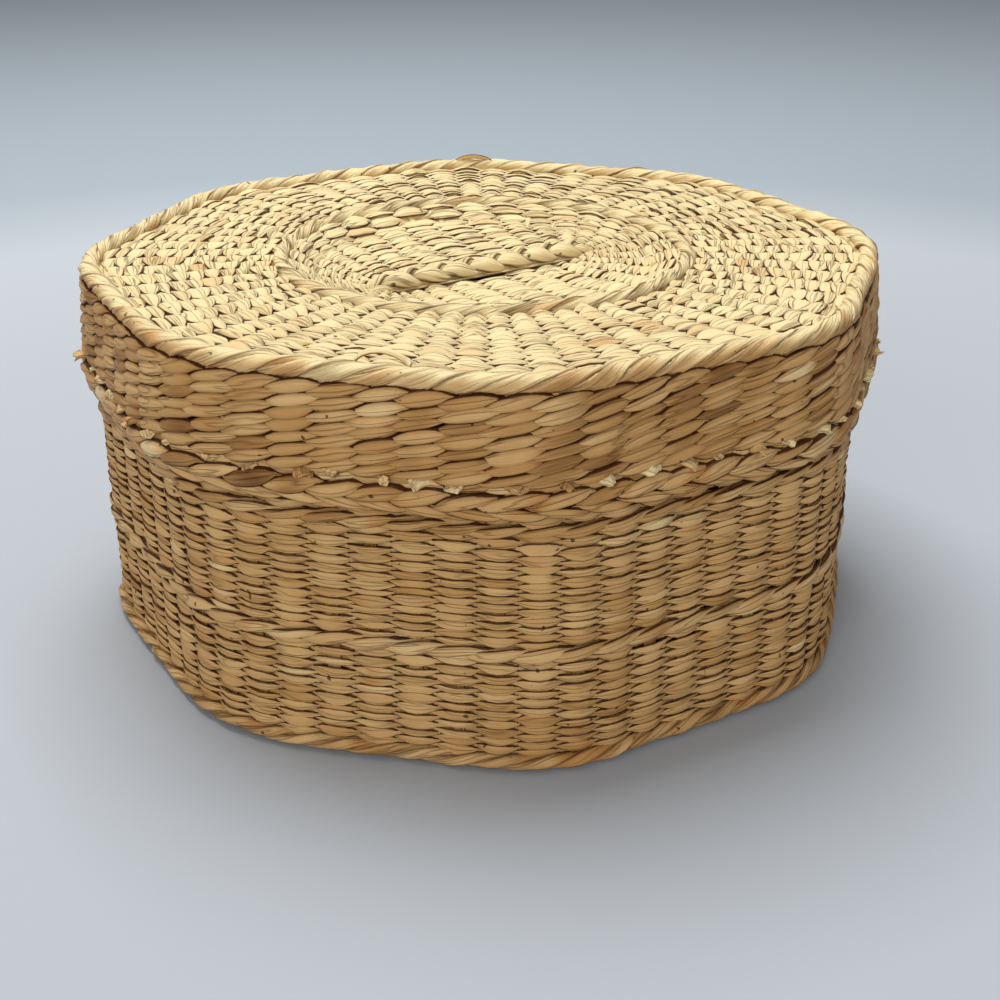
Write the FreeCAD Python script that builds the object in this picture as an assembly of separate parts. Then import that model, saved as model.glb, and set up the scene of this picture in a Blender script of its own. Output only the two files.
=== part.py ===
import FreeCAD, Part
import math
import os

from FreeCAD import Vector

# Woven tortilla warmer: an eight-sided basket with rounded corners and a deep lid that slips over its rim.
# Millimetres, +Z up. The origin is in the middle of the base, on the surface that the basket stands on.
# Two flats of the eight lie square to X and two square to Y.

# Plan: the line that the outer face of the wall follows
half_across_flats = 115.0
corner_radius = 55.0
sides = 8
spans_per_corner = 4

# Stakes: the flat upright strips that all the rows are woven round
stake_count = 66
stake_width = 4.0
stake_thickness = 1.2
inner_stake_width = 2.4

# Weave
wall_thickness = 2.4
scallop = 0.6
plate_thickness = 3.2

# Basket heights
foot_clearance = 1.8
lower_weave_height = 29.4
middle_rope_height = 4.0
upper_weave_height = 32.1
neck_rope_height = 3.5
rim_weave_height = 30.3
rim_border_height = 3.2
rim_border_overhang = 0.2
base_rise = 3.0

# Sideways lean per height: the neck leans in to the rim, the lid's side leans out to its border
neck_lean = 0.16
lid_lean = 0.12

# Ropes: how far each stands out past the wall's outer line
edge_rope_reach = 1.4
band_rope_reach = 1.1
border_reach = 3.25

# Middle of base and lid
ring_radius = 65.0
ring_rope_width = 5.5
ring_rope_rise = 0.9
ring_rope_shoulder = 0.7
flat_middle_radius = 38.0
inner_stake_start = 16.0
braid_length = 76.0
braid_width = 9.0
braid_height = 3.6
braid_direction = 47.0

# Share of the braid's height, and of its full width there
braid_section = [(0.0, 0.7), (0.45, 1.0), (1.0, 0.55)]

# Lid: it was woven a little turned on the basket, so its corners sit clockwise of the basket's
lid_turn = -3.5
lid_seat_gap = 0.3
lid_side_gap = 2.3
lid_top_thickness = 3.4
lid_dish = 7.5
lid_edge_rope_height = 4.8
lid_edge_rope_width = 5.35
lid_edge_rope_round = 1.9
side_row_count = 7
side_row_pitch = 3.2
side_row_bulge = 1.1
stake_end_height = 2.0
stake_end_width = 3.2
stake_end_reach = 1.6
stake_end_inset = 0.4
border_rope_height = 5.4
hem_rope_height = 1.8

# Heights that follow
base_top = foot_clearance + plate_thickness
middle_rope_bottom = base_top + lower_weave_height
upper_weave_bottom = middle_rope_bottom + middle_rope_height
neck_rope_bottom = upper_weave_bottom + upper_weave_height
neck_top = neck_rope_bottom + neck_rope_height
rim_weave_top = neck_top + rim_weave_height
rim_top = rim_weave_top + rim_border_height
lid_stake_bottom = rim_top + lid_seat_gap
lid_plate_bottom = lid_stake_bottom + stake_thickness
lid_plate_top = lid_plate_bottom + lid_top_thickness
side_weave_bottom = lid_plate_bottom - side_row_count * side_row_pitch
border_top = side_weave_bottom - stake_end_height
border_bottom = border_top - border_rope_height
lid_bottom = border_bottom - hem_rope_height

# Offsets from the wall's outer line, outward positive
stake_face = -wall_thickness
stake_back = stake_face - stake_thickness
rim_shift = -neck_lean * rim_weave_height
rim_inner = stake_back + rim_shift - rim_border_overhang
rim_outer = rim_shift + rim_border_overhang
lid_side_top = rim_shift + scallop + lid_side_gap + stake_thickness

inner_count = stake_count // 2
turn = 2 * math.pi / (sides * spans_per_corner)


def direction(angle):
    """Unit vector in the plan at an angle from +X."""
    return Vector(math.cos(angle), math.sin(angle), 0)


def span_distance(index):
    """Distance of a straight span of the plan from the middle: flats at the full apothem, corner spans
    tangent to the corner's arc."""
    angle = index * turn
    corner = (index // spans_per_corner) * 2 * math.pi / sides + math.pi / sides
    corner_centre = (half_across_flats - corner_radius) / math.cos(math.pi / sides)
    if index % spans_per_corner == 0:
        return half_across_flats
    return corner_centre * math.cos(angle - corner) + corner_radius


def plan_vertex(index, offset, height):
    """Where a span of the plan meets the next one, with the whole plan moved outward by offset."""
    first = span_distance(index) + offset
    second = span_distance((index + 1) % (sides * spans_per_corner)) + offset
    along = (second - first * math.cos(turn)) / math.sin(turn)
    normal = direction(index * turn)
    tangent = direction(index * turn + math.pi / 2)
    return normal * first + tangent * along + Vector(0, 0, height)


def plan_points(offset, height):
    return [plan_vertex(i, offset, height) for i in range(sides * spans_per_corner)]


def round_points(radius, height, count=inner_count):
    """A regular polygon whose straight spans run from stake pair to stake pair."""
    step = 2 * math.pi / count
    return [direction((i + 0.5) * step) * radius + Vector(0, 0, height) for i in range(count)]


def closed_wire(points):
    return Part.makePolygon(points + points[:1])


def loft(point_lists):
    """Solid with straight sides through closed outlines, one above the other."""
    return Part.makeLoft([closed_wire(points) for points in point_lists], True, True)


def ring(profile, outline=plan_points, capped=False):
    """Band whose (offset, height) profile is carried round the outline; capped, it is a plate between the
    level polygons of the profile's two ends."""
    loops = [outline(offset, height) for offset, height in profile]
    following = loops[1:] + loops[:1]
    faces = []
    if capped:
        following.pop()
        faces = [Part.Face(closed_wire(loops[0])), Part.Face(closed_wire(loops[-1]))]
    for lower, upper in zip(loops, following):
        for i in range(len(lower)):
            j = (i + 1) % len(lower)
            faces.append(Part.Face(closed_wire([lower[i], lower[j], upper[j], upper[i]])))
    solid = Part.Solid(Part.Shell(faces))
    if solid.Volume < 0:
        solid.reverse()
    return solid.removeSplitter()


def measure_plan():
    """Start and length of each span along the plan, for spacing the stakes."""
    corners = plan_points(0, 0)
    starts = [0.0]
    for i in range(len(corners)):
        starts.append(starts[-1] + corners[i - 1].distanceToPoint(corners[i]))
    return starts


span_starts = measure_plan()
stake_pitch = span_starts[-1] / stake_count


def column(position):
    """Point of the wall's outer line, its outward normal and its tangent, at a position counted in stakes."""
    run = (position * stake_pitch) % span_starts[-1]
    index = max(i for i in range(sides * spans_per_corner) if span_starts[i] <= run)
    start = plan_vertex((index - 1) % (sides * spans_per_corner), 0, 0)
    normal = direction(index * turn)
    tangent = direction(index * turn + math.pi / 2)
    return start + tangent * (run - span_starts[index]), normal, tangent


def scalloped_points(shift, height):
    """Outer line of a woven wall: it stands out over every stake and is pinched in between."""
    points = []
    for k in range(stake_count):
        for position, out in ((k, scallop), (k + 0.5, -scallop / 2)):
            point, normal, tangent = column(position)
            points.append(point + normal * (out + shift) + Vector(0, 0, height))
    return points


def woven_wall(bottom, top, shift_bottom=0.0, shift_top=0.0):
    """One band of over-and-under strips: scalloped outside, plain inside where the stakes stand."""
    outer = loft([scalloped_points(shift_bottom, bottom), scalloped_points(shift_top, top)])
    inner = loft([plan_points(stake_face + shift_bottom, bottom), plan_points(stake_face + shift_top, top)])
    return outer.cut(inner)


def band_rope(bottom, height):
    """Three-strand twined band in the wall, standing a little proud of the weave."""
    edge = height / 4
    return ring([
        (stake_face, bottom),
        (band_rope_reach - edge, bottom),
        (band_rope_reach, bottom + height / 2),
        (band_rope_reach - edge, bottom + height),
        (stake_face, bottom + height),
    ])


def strip(start, end, width, bottom, thickness):
    """Flat strip lying level between two points of the plan."""
    run = end - start
    run.normalize()
    side = Vector(-run.y, run.x, 0) * (width / 2)
    lift = Vector(0, 0, bottom)
    outline = closed_wire([start - side + lift, end - side + lift, end + side + lift, start + side + lift])
    return Part.Face(outline).extrude(Vector(0, 0, thickness))


def upright(k, levels):
    """Flat strip standing at stake k, through (offset, height) levels of its outer face."""
    point, normal, tangent = column(k)
    face = [point + normal * offset + Vector(0, 0, height) for offset, height in levels]
    back = [corner - normal * stake_thickness for corner in reversed(face)]
    outline = [corner - tangent * (stake_width / 2) for corner in face + back]
    return Part.Face(closed_wire(outline)).extrude(tangent * stake_width)


def bent_stakes(strip_bottom, levels):
    """Stakes that lie level from the ring to the wall and turn along it, trimmed to the wall's inner face."""
    bend_offset = levels[0][0]
    room = loft([plan_points(offset, height) for offset, height in sorted(levels, key=lambda level: level[1])])
    stakes = []
    for k in range(stake_count):
        point, normal, tangent = column(k)
        start = direction(math.atan2(point.y, point.x)) * (ring_radius - ring_rope_width / 2)
        end = point + normal * (bend_offset + stake_thickness)
        level_part = strip(start, end, stake_width, strip_bottom, stake_thickness)
        stakes.append(level_part.fuse(upright(k, levels)).common(room).removeSplitter())
    return Part.makeCompound(stakes)


def middle_strips(bottom, rise):
    """Radial strips of the middle: level near the braid, then sloping to the ring."""
    reach = ring_radius - ring_rope_width
    facing = math.cos(math.pi / inner_count)
    strips = []
    for k in range(inner_count):
        angle = 2 * math.pi * k / inner_count
        profile = [
            (inner_stake_start, bottom),
            (flat_middle_radius * facing, bottom),
            (reach * facing, bottom + rise),
            (reach * facing, bottom + rise + stake_thickness),
            (flat_middle_radius * facing, bottom + stake_thickness),
            (inner_stake_start, bottom + stake_thickness),
        ]
        side = direction(angle + math.pi / 2) * (inner_stake_width / 2)
        outline = [direction(angle) * radius - side + Vector(0, 0, height) for radius, height in profile]
        strips.append(Part.Face(closed_wire(outline)).extrude(side * 2))
    return Part.makeCompound(strips)


def middle_weave(bottom, rise, thickness):
    """Round woven plate with a level middle; its rim is higher than the middle by rise."""
    reach = ring_radius - ring_rope_width
    return ring([
        (flat_middle_radius, bottom),
        (reach, bottom + rise),
        (reach, bottom + rise + thickness),
        (flat_middle_radius, bottom + thickness),
    ], round_points, capped=True)


def outer_weave(bottom, thickness, edge_offset):
    """Woven plate from the round ring out to the eight-sided edge."""
    up = Vector(0, 0, thickness)
    plate = Part.Face(closed_wire(plan_points(edge_offset, bottom))).extrude(up)
    hole = Part.Face(closed_wire(round_points(ring_radius, bottom))).extrude(up)
    return plate.cut(hole)


def ring_rope(bottom, top):
    """Round twined ring between the inner and the outer weave."""
    inner = ring_radius - ring_rope_width
    edge = ring_rope_width / 4
    shoulder = bottom + (top - bottom) * ring_rope_shoulder
    return ring([
        (inner, bottom),
        (ring_radius, bottom),
        (ring_radius, shoulder),
        (ring_radius - edge, top),
        (inner + edge, top),
        (inner, shoulder),
    ], round_points)


def stadium(length, width, height):
    """Outline with two parallel sides and half-round ends."""
    half = (length - width) / 2
    r = width / 2
    corners = [Vector(half, -r, height), Vector(half, r, height), Vector(-half, r, height), Vector(-half, -r, height)]
    return Part.Wire([
        Part.Arc(corners[0], Vector(half + r, 0, height), corners[1]).toShape(),
        Part.LineSegment(corners[1], corners[2]).toShape(),
        Part.Arc(corners[2], Vector(-half - r, 0, height), corners[3]).toShape(),
        Part.LineSegment(corners[3], corners[0]).toShape(),
    ])


def braid(seat, up):
    """Short plait lying on the weave's middle, narrower at its crown; up is 1 above the lid, -1 under the base."""
    outlines = []
    for share, fullness in braid_section:
        narrower = braid_width * (1 - fullness)
        height = seat + up * braid_height * share
        outlines.append(stadium(braid_length - narrower, braid_width * fullness, height))
    if up < 0:
        outlines.reverse()
    plait = Part.makeLoft(outlines, True, True)
    plait.rotate(Vector(0, 0, 0), Vector(0, 0, 1), braid_direction)
    return plait


def lid_side_offset(height):
    """Offset of the lid side's inner face: it leans out towards the bottom."""
    return lid_side_top + lid_lean * (lid_plate_bottom - height)


def lid_side_weave():
    """Seven twined rows: each bulges outward, with a pinched line between two rows."""
    profile = [
        (lid_side_offset(side_weave_bottom), side_weave_bottom),
        (lid_side_offset(side_weave_bottom) + wall_thickness - side_row_bulge / 2, side_weave_bottom),
    ]
    for row in range(side_row_count):
        bottom = side_weave_bottom + row * side_row_pitch
        middle = bottom + side_row_pitch / 2
        top = bottom + side_row_pitch
        profile.append((lid_side_offset(middle) + wall_thickness + side_row_bulge / 2, middle))
        profile.append((lid_side_offset(top) + wall_thickness - side_row_bulge / 2, top))
    profile.append((lid_side_offset(lid_plate_bottom), lid_plate_bottom))
    return ring(profile)


def stake_ends():
    """Cut ends of the lid's stakes: short stubs turned out over the border."""
    stubs = []
    inner = lid_side_offset(side_weave_bottom)
    for k in range(stake_count):
        point, normal, tangent = column(k)
        start = point + normal * (inner + stake_end_inset)
        end = point + normal * (inner + wall_thickness + stake_end_reach)
        stubs.append(strip(start, end, stake_end_width, border_top, stake_end_height))
    return Part.makeCompound(stubs)


def lid_edge_rope():
    """Thick twined edge on the corner of the lid, its flat sides against the top plate and the side."""
    outer = lid_side_top + wall_thickness
    inner = outer - lid_edge_rope_width
    bottom = lid_plate_bottom
    top = bottom + lid_edge_rope_height
    edge = lid_edge_rope_height / 4
    return ring([
        (inner, bottom),
        (outer - edge, bottom),
        (outer, bottom + edge),
        (outer, top - lid_edge_rope_round),
        (outer - lid_edge_rope_round, top),
        (inner + edge, top),
        (inner, top - edge),
    ])


def lid_border_rope():
    """Fat border of folded stakes round the lid's lower edge."""
    inner_top = lid_side_offset(border_top)
    inner_bottom = lid_side_offset(border_bottom)
    outer = inner_bottom + border_reach
    edge = border_rope_height / 4
    return ring([
        (inner_bottom, border_bottom),
        (outer - edge, border_bottom),
        (outer, border_bottom + edge),
        (outer, border_top - edge),
        (outer - edge, border_top),
        (inner_top, border_top),
    ])


def lid_hem_rope():
    """Thin twined row under the border."""
    inner = lid_side_offset(border_bottom)
    outer = inner + border_reach - border_rope_height / 4
    return ring([
        (inner, lid_bottom),
        (outer - hem_rope_height / 2, lid_bottom),
        (outer, border_bottom),
        (inner, border_bottom),
    ])


def base_edge_rope():
    """Twined edge that the basket stands on, cut flat where it touches the table."""
    edge = base_top / 4
    return ring([
        (stake_back, 0),
        (edge_rope_reach - edge, 0),
        (edge_rope_reach, edge),
        (edge_rope_reach, base_top - edge),
        (edge_rope_reach - edge, base_top),
        (stake_back, base_top),
    ])


def rim_border():
    """Folded border that closes the rim; the lid rests on its flat top."""
    edge = rim_border_height / 4
    return ring([
        (rim_inner, rim_weave_top),
        (rim_outer, rim_weave_top),
        (rim_outer - edge, rim_top),
        (rim_inner + edge, rim_top),
    ])


def main():
    os.makedirs("parts", exist_ok=True)
    wall_levels = [(stake_face, base_top), (stake_face, neck_top), (stake_face + rim_shift, rim_weave_top)]
    lid_levels = [
        (lid_side_offset(lid_plate_bottom), lid_plate_bottom),
        (lid_side_offset(border_bottom), border_bottom),
    ]
    lid_rope_inner = lid_side_top + wall_thickness - lid_edge_rope_width
    pieces = {
        "base_centre_braid": braid(foot_clearance + base_rise, -1),
        "base_inner_stakes": middle_strips(base_top + base_rise, -base_rise),
        "base_inner_weave": middle_weave(foot_clearance + base_rise, -base_rise, plate_thickness),
        "base_ring_rope": ring_rope(foot_clearance - ring_rope_rise, base_top),
        "base_outer_weave": outer_weave(foot_clearance, plate_thickness, stake_back),
        "base_edge_rope": base_edge_rope(),
        "basket_stakes": bent_stakes(base_top, wall_levels),
        "wall_lower_weave": woven_wall(base_top, middle_rope_bottom),
        "wall_middle_rope": band_rope(middle_rope_bottom, middle_rope_height),
        "wall_upper_weave": woven_wall(upper_weave_bottom, neck_rope_bottom),
        "wall_neck_rope": band_rope(neck_rope_bottom, neck_rope_height),
        "wall_rim_weave": woven_wall(neck_top, rim_weave_top, 0.0, rim_shift),
        "rim_border": rim_border(),
        "lid_centre_braid": braid(lid_plate_top - lid_dish, 1),
        "lid_inner_stakes": middle_strips(lid_stake_bottom - lid_dish, lid_dish),
        "lid_inner_weave": middle_weave(lid_plate_bottom - lid_dish, lid_dish, lid_top_thickness),
        "lid_ring_rope": ring_rope(lid_plate_bottom, lid_plate_top + ring_rope_rise),
        "lid_outer_weave": outer_weave(lid_plate_bottom, lid_top_thickness, lid_rope_inner),
        "lid_edge_rope": lid_edge_rope(),
        "lid_stakes": bent_stakes(lid_stake_bottom, lid_levels),
        "lid_side_weave": lid_side_weave(),
        "lid_stake_ends": stake_ends(),
        "lid_border_rope": lid_border_rope(),
        "lid_hem_rope": lid_hem_rope(),
    }
    for name, shape in pieces.items():
        if name.startswith("lid") and name != "lid_centre_braid":
            shape.rotate(Vector(0, 0, 0), Vector(0, 0, 1), lid_turn)
        shape.exportStep("parts/" + name + ".step")
        print(name, "solids", len(shape.Solids), "valid", shape.isValid(), "volume", round(shape.Volume))


main()
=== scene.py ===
import math
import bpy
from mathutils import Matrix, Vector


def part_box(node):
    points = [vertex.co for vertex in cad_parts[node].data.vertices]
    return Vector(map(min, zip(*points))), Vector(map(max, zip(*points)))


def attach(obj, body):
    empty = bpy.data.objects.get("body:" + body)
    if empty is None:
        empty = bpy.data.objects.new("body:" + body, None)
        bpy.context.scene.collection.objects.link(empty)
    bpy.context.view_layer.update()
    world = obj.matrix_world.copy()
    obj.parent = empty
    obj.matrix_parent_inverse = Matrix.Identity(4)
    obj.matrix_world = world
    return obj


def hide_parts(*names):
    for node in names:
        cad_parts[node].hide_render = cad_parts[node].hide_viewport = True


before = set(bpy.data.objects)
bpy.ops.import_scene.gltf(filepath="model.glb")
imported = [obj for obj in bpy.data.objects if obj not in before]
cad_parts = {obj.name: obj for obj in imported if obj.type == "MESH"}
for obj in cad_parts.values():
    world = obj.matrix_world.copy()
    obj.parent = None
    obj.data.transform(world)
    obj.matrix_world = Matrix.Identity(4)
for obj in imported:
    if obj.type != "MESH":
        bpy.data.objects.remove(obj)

from types import SimpleNamespace

import bpy
import numpy as np
from bpy.props import FloatProperty, FloatVectorProperty, IntProperty, PointerProperty

bl_info = {
    "name": "Woven tortilla warmer",
    "version": (1, 0, 0),
    "blender": (4, 5, 0),
    "location": "3D View > Sidebar > Warmer",
    "description": "Weaves an eight-sided lidded basket of dried sedge strips round its CAD frame",
    "category": "Add Mesh",
}

MM = 0.001
UP = np.array([0, 0, 1.0])
seeded = np.random.default_rng

# Where the last row of the base and of the lid's top lies, from the wall's outer line, in millimetres.
PLATE_EDGE = -3.2

# How unevenly hands lay a strip: a standard deviation, in rows across, in millimetres deep and in radians of roll.
UNEVEN = 0.14

# The photograph's camera, fitted to the outline of the basket: place in metres, angles in degrees, lens in mm.
CAMERA_PLACE = (0.1075, -0.4274, 0.2339)
CAMERA_DOWN = 25.3
CAMERA_TURN = 13.48
CAMERA_LENS = 52.2


def linear(code):
    """Linear RGBA of an sRGB hex colour: c / 12.92 up to 0.04045, and above it ((c + 0.055) / 1.055) ** 2.4."""
    values = [int(code[i:i + 2], 16) / 255 for i in (1, 3, 5)]
    return tuple(c / 12.92 if c <= 0.04045 else ((c + 0.055) / 1.055) ** 2.4 for c in values) + (1.0,)


def length(name, description, millimetres):
    """A size of the warmer as a property in metres."""
    return FloatProperty(name=name, description=description, default=millimetres * MM, unit="LENGTH", precision=5)


def rotation(name, description, degrees):
    """An angle of the warmer as a property."""
    return FloatProperty(name=name, description=description, default=math.radians(degrees), subtype="ANGLE")


def amount(name, description, count):
    """A number of stakes, rows or turns as a property."""
    return IntProperty(name=name, description=description, default=count, min=1)


def colour(name, description, code):
    """A colour of the warmer as a property."""
    return FloatVectorProperty(name=name, description=description, default=linear(code), size=4, subtype="COLOR")


class WarmerSizes(bpy.types.PropertyGroup):
    """Sizes that all the pieces are woven to."""

    half_across_flats: length("Half across flats", "From the middle to the wall's outer line on a flat", 115.0)
    corner_radius: length("Corner radius", "Radius of the eight corners on the wall's outer line", 55.0)
    first_stake: length("First stake", "How far before the first flat the first stake stands", 5.4)
    stake_width: length("Stake width", "Width of one flat stake", 4.0)
    wall_depth: length("Wall depth", "Depth of the weave's middle under the wall's outer line", 1.85)
    wall_swing: length("Wall swing", "How far a strip moves out and in round the stakes of the wall", 1.3)
    strip_thickness: length("Strip thickness", "Thickness of one woven strip, a flattened dried leaf", 1.2)
    rim_shift: length("Rim shift", "How far the neck has leant in at the rim", 4.85)
    lid_side_top: length("Lid side, top", "How far the lid side's inner face lies in from the outer line", 0.75)
    ring_radius: length("Ring radius", "Outer radius of the twined ring of base and lid", 65.0)
    ring_width: length("Ring width", "Width of the twined ring of base and lid", 5.5)
    braid_length: length("Braid length", "Length of the plait in the middle", 76.0)
    braid_width: length("Braid width", "Width of the plait in the middle", 9.0)
    braid_direction: rotation("Braid direction", "Direction of the plait in the plan", 47)
    lid_turn: rotation("Lid turn", "How far the lid is turned on the basket", -3.5)
    lid_lean: FloatProperty(name="Lid lean", description="Sideways lean of the lid's side per height", default=0.08)
    stakes: amount("Stakes", "Number of stakes round the wall", 66)
    wall_rows_lower: amount("Rows, lower", "Strips below the middle band", 21)
    wall_rows_upper: amount("Rows, upper", "Strips between the two twined bands", 25)
    wall_rows_rim: amount("Rows, rim", "Strips of the part that the lid covers", 22)
    plate_rows: amount("Rows, outer plate", "Strips from the ring to the edge", 22)
    middle_turns: amount("Turns, middle", "Turns of the strip round the plait", 28)
    side_rows: amount("Rows, lid side", "Twined rows of the lid's side", 7)


class WarmerColours(bpy.types.PropertyGroup):
    """Colours of the dried leaves, from the darkest fold to the most bleached strip."""

    # Fold also colours the band of painted shade towards a strip's edges, and edge its dark painted edge line.
    fold: colour("Fold", "Brown of an old fold or a scuffed edge", "#5C3009")
    tan: colour("Tan", "Tan of a strip that dried in the shade", "#BA8B52")
    straw: colour("Straw", "Straw colour of most strips", "#D8B077")
    bleached: colour("Bleached", "Pale strip that dried in the sun", "#EED9A4")
    edge: colour("Edge", "Brown of a strip's edge, in the shade of its neighbour", "#421C05")
    rust: colour("Rust", "Orange-brown tint where a leaf grew near its root", "#B9772F")
    speck: colour("Speck", "Dark speck of mildew", "#3A2A1A")
    # The floor colours are painted light: darker near the warmer, brightest half a metre out, darker far back.
    floor: colour("Floor", "Pale floor under the warmer", "#B0B5BB")
    floor_painted_light: colour("Floor, bright", "The floor behind the warmer, nearer the lamp", "#B7BDC2")
    floor_far: colour("Floor, far", "The floor towards the back of the studio", "#A4AEB6")


def sizes(context):
    """The sizes as plain numbers, lengths in millimetres."""
    group = context.scene.warmer_sizes
    lengths = {p.identifier for p in group.bl_rna.properties if getattr(p, "unit", "NONE") == "LENGTH"}
    names = [n for n in group.bl_rna.properties.keys() if n not in ("rna_type", "name")]
    return SimpleNamespace(**{n: getattr(group, n) / MM if n in lengths else getattr(group, n) for n in names})


def levels(node):
    """Lowest and highest point of a CAD node in millimetres."""
    low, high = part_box(node)
    return low.z / MM, high.z / MM


def direction(angle):
    """Level unit vector at an angle in the plan."""
    return np.stack([np.cos(angle), np.sin(angle), np.zeros_like(angle)], -1)


def left_of(vectors):
    """Level vectors turned a quarter to the left."""
    return np.stack([-vectors[..., 1], vectors[..., 0], 0 * vectors[..., 0]], -1)


def unit(vectors):
    """Vectors divided by their lengths."""
    return vectors / np.maximum(np.linalg.norm(vectors, axis=-1, keepdims=True), 1e-9)


def smooth(t):
    """Smooth step 3 t^2 - 2 t^3 of t kept between 0 and 1."""
    t = np.clip(t, 0, 1)
    return t * t * (3 - 2 * t)


def lid_offset(s, height):
    """Offset of the lid side's inner face from the outer line at a height: it leans out towards the bottom."""
    return -s.lid_side_top + s.lid_lean * (levels("lid_outer_weave")[0] - height)


# The plan, and the beds that strips are laid on.


def plan(u, offset, s):
    """Rounded octagon: the distance along it is the stake number times the pitch. A point is the inner octagon's
    point, which waits at the corner's centre while the normal turns, plus the corner radius and the offset along
    the normal. Returns the point and the normal as arrays that end in 3 coordinates, z being 0."""
    inner = s.half_across_flats - s.corner_radius
    flat = 2 * inner * math.tan(math.pi / 8)
    period = flat + s.corner_radius * math.pi / 4
    run = np.asarray(u, float) * (8 * period / s.stakes) - s.first_stake
    side = np.floor(run / period)
    rest = run - side * period
    along = np.minimum(rest, flat) - flat / 2
    angle = side * math.pi / 4
    normal = direction(angle + np.maximum(rest - flat, 0) / s.corner_radius)
    square = direction(angle)
    centre = inner * square + along[..., None] * left_of(square)
    return centre + normal * (s.corner_radius + np.asarray(offset))[..., None], normal


def wall_bed(s, bottom, pitch, lean=0.0, offset=0.0):
    """Bed on the wall: height is bottom + row * pitch, and the plan's offset grows by lean per height."""

    def bed(u, row):
        u, row = np.broadcast_arrays(u, row)
        rise = row * pitch
        point, normal = plan(u, offset + lean * rise, s)
        point[..., 2] = bottom + rise
        across = unit(normal * lean + UP)
        return point, across, normal, np.full(u.shape, float(pitch))

    return bed


def plate_bed(start, end, rows, height, up):
    """Bed on a plate: row 0 follows the line start(u), the last row end(u), and the ones between divide the straight
    line from one to the other. Height is a function of the radius, and up is 1 above the lid and -1 under the base."""

    def bed(u, row):
        u, row = np.broadcast_arrays(u, row)
        a, b = start(u), end(u)
        point = a + (b - a) * (row / rows)[..., None]
        radius = np.hypot(point[..., 0], point[..., 1])
        point[..., 2] = height(radius)
        across = b - a
        across[..., 2] = 0
        pitch = np.linalg.norm(across, axis=-1) / rows
        across = unit(across)
        slope = (height(radius + 0.5) - height(radius - 0.5)) * (across * point).sum(-1) / np.maximum(radius, 1e-6)
        out = up * (UP - slope[..., None] * across)
        across[..., 2] = slope
        return point, unit(across), unit(out), pitch * np.hypot(1, slope)

    return bed


def round_line(radius, angle_of):
    """Circle of a radius, at the angle that angle_of gives for a stake position."""
    return lambda u: radius * direction(angle_of(u))


def stake_angle(s):
    """Angle in the plan of a stake of the wall, unwrapped so that it grows with the stake number."""

    def angle_of(u):
        point, _ = plan(u, 0.0, s)
        angle = np.arctan2(point[..., 1], point[..., 0])
        guess = (np.asarray(u, float) / s.stakes) * 2 * np.pi
        return angle + 2 * np.pi * np.round((guess - angle) / (2 * np.pi))

    return angle_of


def middle_angle(s):
    """Angle in the plan of a stake of the middle, where two stakes of the wall are one."""
    return lambda u: 2 * np.pi * np.asarray(u, float) / (s.stakes // 2)


def ring_bed(s, height):
    """Bed round the ring rope of a plate: one row is one millimetre up."""

    def bed(u, row):
        u, row = np.broadcast_arrays(u, row)
        out = direction(middle_angle(s)(u))
        point = out * (s.ring_radius - s.ring_width / 2)
        point[..., 2] = height + row
        return point, np.broadcast_to(UP, point.shape), out, np.ones(u.shape)

    return bed


def plait_line(s):
    """Line round the plait: the middle line's point, which slides to the end of the plait as the angle turns to
    it, plus 1.5 mm in the angle's direction, so that the first turn starts under the plait."""
    half = (s.braid_length - s.braid_width) / 2
    axis = direction(s.braid_direction)

    def line(u):
        angle = middle_angle(s)(u)
        slide = np.tanh(1.7 * np.cos(angle - s.braid_direction)) / math.tanh(1.7)
        return axis * (half * slide)[..., None] + direction(angle) * 1.5

    return line


# Strips and strands.

# Where a strip has its points, from the middle of each stake, as shares of the way to the next stake.
STEPS = np.array([-0.5, -0.38, -0.2, 0.0, 0.2, 0.38])


def cells(random, rows, columns, spread):
    """One random number for each strip over each stake, blended to the mean of two neighbours where the strip
    dips between them."""
    own = random.normal(0, spread, (rows, columns))[..., None]
    other = np.where(STEPS < 0, np.roll(own, 1, 1), np.roll(own, -1, 1))
    share = np.abs(STEPS) ** 2 * 2
    return (own * (1 - share) + other * share).reshape(rows, -1)


def pale_cells(random, rows, columns, share=0.04):
    """A jump in tone for the few strips that bleached in the sun, nothing for the others."""
    own = (random.random((rows, columns)) < share)[..., None] * 0.22
    return (own * (1 - np.abs(STEPS) ** 2 * 2)).reshape(rows, -1)


# A strip's section: nine points, more of them on its outer face.
SECTION = np.radians([0, 20, 56, 90, 124, 160, 180, 240, 300])
SECTION_ACROSS = np.sign(np.cos(SECTION)) * np.abs(np.cos(SECTION)) ** 0.8
SECTION_LIFT = np.sin(SECTION)

# How far apart strips lie in the UV map, in millimetres, so that no two share their fibres.
STRIP_GAP = 7.3


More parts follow.
